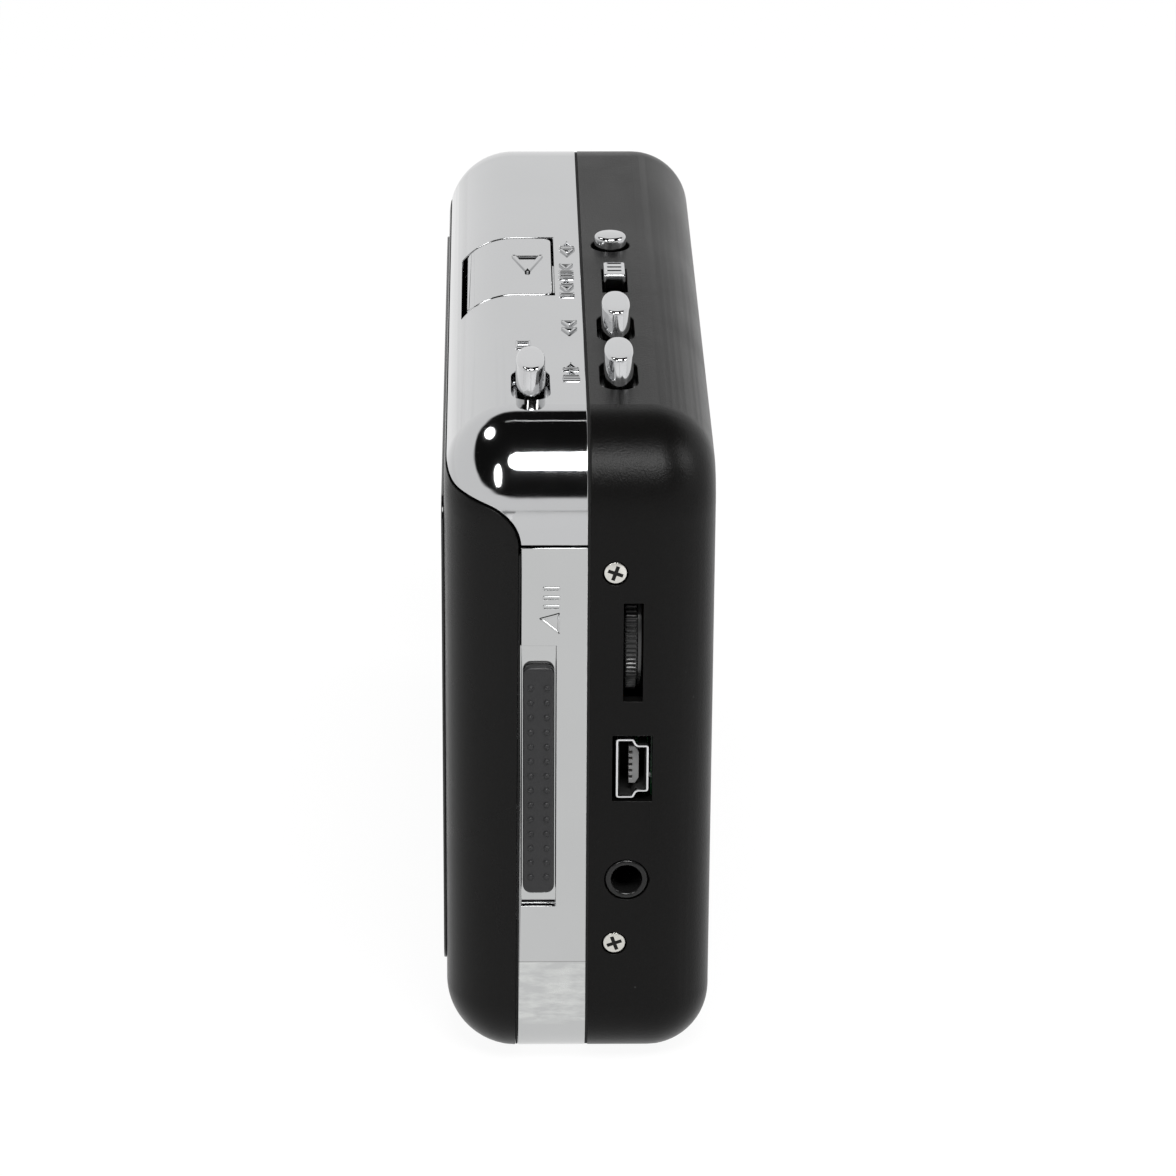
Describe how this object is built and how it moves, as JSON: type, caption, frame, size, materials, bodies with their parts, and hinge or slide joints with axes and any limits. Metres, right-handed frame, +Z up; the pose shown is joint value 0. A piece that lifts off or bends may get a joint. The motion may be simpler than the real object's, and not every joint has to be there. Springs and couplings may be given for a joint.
{
  "type": "portable cassette player",
  "caption": "Pocket player for compact cassettes: side-hinged door with a window, keys and a mode switch on top, sliding door catch, volume wheel, data socket and headphone jack on one end.",
  "frame": {"origin": "Centre of the bounding box of the player with its door shut, on the floor it stands on by its long lower edge.", "axes": "X runs along the width to the end with the sockets, Y from the cassette door to the back shell, Z up to the keys."},
  "size_m": [0.1125, 0.032, 0.0855],
  "materials": {
    "black_case": "fine matte texture",
    "plated_trim": "bright plated plastic",
    "inner_black": "matte",
    "door_panel": "satin",
    "smoked_window": "smoked clear plastic",
    "spring_steel": "bare",
    "slider_grey": "matte with raised dots",
    "sheet_steel": "zinc plated",
    "plated_keys": "bright plated plastic",
    "wheel_black": "matte",
    "pot_body": "phenolic",
    "socket_steel": "tinned steel",
    "jack_black": "gloss",
    "board_green": "solder mask",
    "chip_black": "matte",
    "capacitor_sleeve": "printed sleeve left plain",
    "bronze": "sintered bronze or brass",
    "flywheel_brass": "turned",
    "shaft_steel": "polished",
    "belt_rubber": "matte",
    "motor_can": "zinc plated",
    "white_gears": "acetal",
    "cell_jacket": "plain jacket",
    "screw_steel": "nickel plated",
    "black_screws": "blackened"
  },
  "bodies": {
    "case": {"back_shell": "black_case", "top_cap": "plated_trim", "side_band": "plated_trim", "bay_frame": "inner_black", "hinge_pins": "spring_steel", "latch_spring": "spring_steel", "mode_switch": "sheet_steel", "volume_pot": "pot_body", "usb_shell": "socket_steel", "usb_tongue": "inner_black", "headphone_jack": "jack_black", "circuit_board": "board_green", "board_chips": "chip_black", "board_capacitors": "capacitor_sleeve", "deck_plate": "sheet_steel", "capstan_bearings": "bronze", "wheel_bridge": "sheet_steel", "drive_belt": "belt_rubber", "motor": "motor_can", "motor_bracket": "sheet_steel", "battery_cells": "cell_jacket", "battery_contacts": "spring_steel", "battery_spring": "spring_steel", "side_screws": "screw_steel", "back_screws": "black_screws"},
    "door": {"door_shell": "black_case", "door_panel": "door_panel", "door_window": "smoked_window", "cassette_guides": "inner_black", "cassette_springs": "spring_steel"},
    "door_catch": {"open_slider": "slider_grey", "latch_bar": "sheet_steel"},
    "play_key_body": {"play_key": "plated_trim"},
    "stop_key_body": {"stop_key": "plated_keys"},
    "forward_key_body": {"fast_forward_key": "plated_keys"},
    "rewind_key_body": {"rewind_key": "plated_keys"},
    "direction_key_body": {"direction_key": "plated_keys"},
    "mode_knob_body": {"mode_knob": "plated_keys"},
    "volume_wheel_body": {"volume_wheel": "wheel_black"},
    "battery_cover_body": {"battery_cover": "black_case"},
    "left_flywheel": {"flywheel_left": "flywheel_brass", "capstan_left": "shaft_steel"},
    "right_flywheel": {"flywheel_right": "flywheel_brass", "capstan_right": "shaft_steel"},
    "pulley": {"motor_pulley": "bronze"},
    "idler": {"idler_gear": "white_gears"},
    "takeup_reel": {"takeup_gear": "white_gears", "takeup_spindle": "white_gears"},
    "supply_reel": {"supply_spindle": "white_gears"},
    "heads": {"head_plate": "sheet_steel", "tape_head": "shaft_steel"},
    "left_pinch_arm": {"pinch_arm_left": "sheet_steel"},
    "right_pinch_arm": {"pinch_arm_right": "sheet_steel"},
    "left_pinch_roller": {"pinch_roller_left": "belt_rubber"},
    "right_pinch_roller": {"pinch_roller_right": "belt_rubber"}
  },
  "joints": [
    {"name": "door_hinge", "type": "hinge", "parent": "case", "child": "door", "pos_m": [-0.05241, -0.01206, 0.0375], "axis": [0, 0, -1], "range_deg": [0, 65]},
    {"name": "catch_slide", "type": "slide", "parent": "case", "child": "door_catch", "axis": [0, 0, 1], "range_m": [0, 0.0024], "stiffness_N_per_m": 250, "springref_m": -0.001, "deforming": ["latch_spring"]},
    {"name": "play_key_press", "type": "slide", "parent": "case", "child": "play_key_body", "axis": [0, 0, -1], "range_m": [0, 0.0034], "stiffness_N_per_m": 300, "springref_m": -0.0006},
    {"name": "head_plate_slide", "type": "slide", "parent": "case", "child": "heads", "axis": [0, 0, -1], "range_m": [0, 0.0034]},
    {"name": "stop_key_press", "type": "slide", "parent": "case", "child": "stop_key_body", "axis": [0, 0, -1], "range_m": [0, 0.0016], "stiffness_N_per_m": 300, "springref_m": -0.0006},
    {"name": "forward_key_press", "type": "slide", "parent": "case", "child": "forward_key_body", "axis": [0, 0, -1], "range_m": [0, 0.0016], "stiffness_N_per_m": 300, "springref_m": -0.0006},
    {"name": "rewind_key_press", "type": "slide", "parent": "case", "child": "rewind_key_body", "axis": [0, 0, -1], "range_m": [0, 0.0016], "stiffness_N_per_m": 300, "springref_m": -0.0006},
    {"name": "direction_key_press", "type": "slide", "parent": "case", "child": "direction_key_body", "axis": [0, 0, -1], "range_m": [0, 0.001], "stiffness_N_per_m": 300, "springref_m": -0.0006},
    {"name": "mode_slide", "type": "slide", "parent": "case", "child": "mode_knob_body", "axis": [1, 0, 0], "range_m": [0, 0.003]},
    {"name": "volume_turn", "type": "hinge", "parent": "case", "child": "volume_wheel_body", "pos_m": [0.0487, 0.00635, 0.05525], "axis": [0, 1, 0], "range_deg": [-140, 140]},
    {"name": "battery_cover_slide", "type": "slide", "parent": "case", "child": "battery_cover_body", "axis": [-1, 0, 0], "range_m": [0, 0.012]},
    {"name": "left_flywheel_spin", "type": "hinge", "parent": "case", "child": "left_flywheel", "pos_m": [-0.0235, 0.005, 0.0665], "axis": [0, 1, 0], "continuous": true},
    {"name": "right_flywheel_spin", "type": "hinge", "parent": "case", "child": "right_flywheel", "pos_m": [0.0235, 0.005, 0.0665], "axis": [0, 1, 0], "continuous": true},
    {"name": "pulley_spin", "type": "hinge", "parent": "case", "child": "pulley", "pos_m": [-0.0391, 0.005, 0.045], "axis": [0, 1, 0], "continuous": true},
    {"name": "idler_spin", "type": "hinge", "parent": "case", "child": "idler", "pos_m": [0.0183, 0.005, 0.05436], "axis": [0, 1, 0], "continuous": true},
    {"name": "takeup_spin", "type": "hinge", "parent": "case", "child": "takeup_reel", "pos_m": [0.02125, 0.005, 0.036], "axis": [0, 1, 0], "continuous": true},
    {"name": "supply_spin", "type": "hinge", "parent": "case", "child": "supply_reel", "pos_m": [-0.02125, 0.005, 0.036], "axis": [0, 1, 0], "continuous": true},
    {"name": "left_pinch_turn", "type": "hinge", "parent": "heads", "child": "left_pinch_arm", "pos_m": [-0.03, -0.0025, 0.0751], "axis": [0, -1, 0], "range_deg": [0, 2], "stiffness_Nm_per_rad": 0.02, "springref_deg": -2.86},
    {"name": "right_pinch_turn", "type": "hinge", "parent": "heads", "child": "right_pinch_arm", "pos_m": [0.03, -0.0025, 0.0751], "axis": [0, 1, 0], "range_deg": [0, 2], "stiffness_Nm_per_rad": 0.02, "springref_deg": -2.86},
    {"name": "left_roller_spin", "type": "hinge", "parent": "left_pinch_arm", "child": "left_pinch_roller", "pos_m": [-0.0235, -0.008, 0.0751], "axis": [0, 1, 0], "continuous": true},
    {"name": "right_roller_spin", "type": "hinge", "parent": "right_pinch_arm", "child": "right_pinch_roller", "pos_m": [0.0235, -0.008, 0.0751], "axis": [0, 1, 0], "continuous": true}
  ],
  "couplings": [
    {"joint": "head_plate_slide", "follows": "play_key_press", "ratio": 1},
    {"joint": "right_flywheel_spin", "follows": "left_flywheel_spin", "ratio": -1},
    {"joint": "pulley_spin", "follows": "left_flywheel_spin", "ratio": -3.5574},
    {"joint": "idler_spin", "follows": "left_flywheel_spin", "ratio": 0.375},
    {"joint": "takeup_spin", "follows": "left_flywheel_spin", "ratio": -0.4}
  ]
}
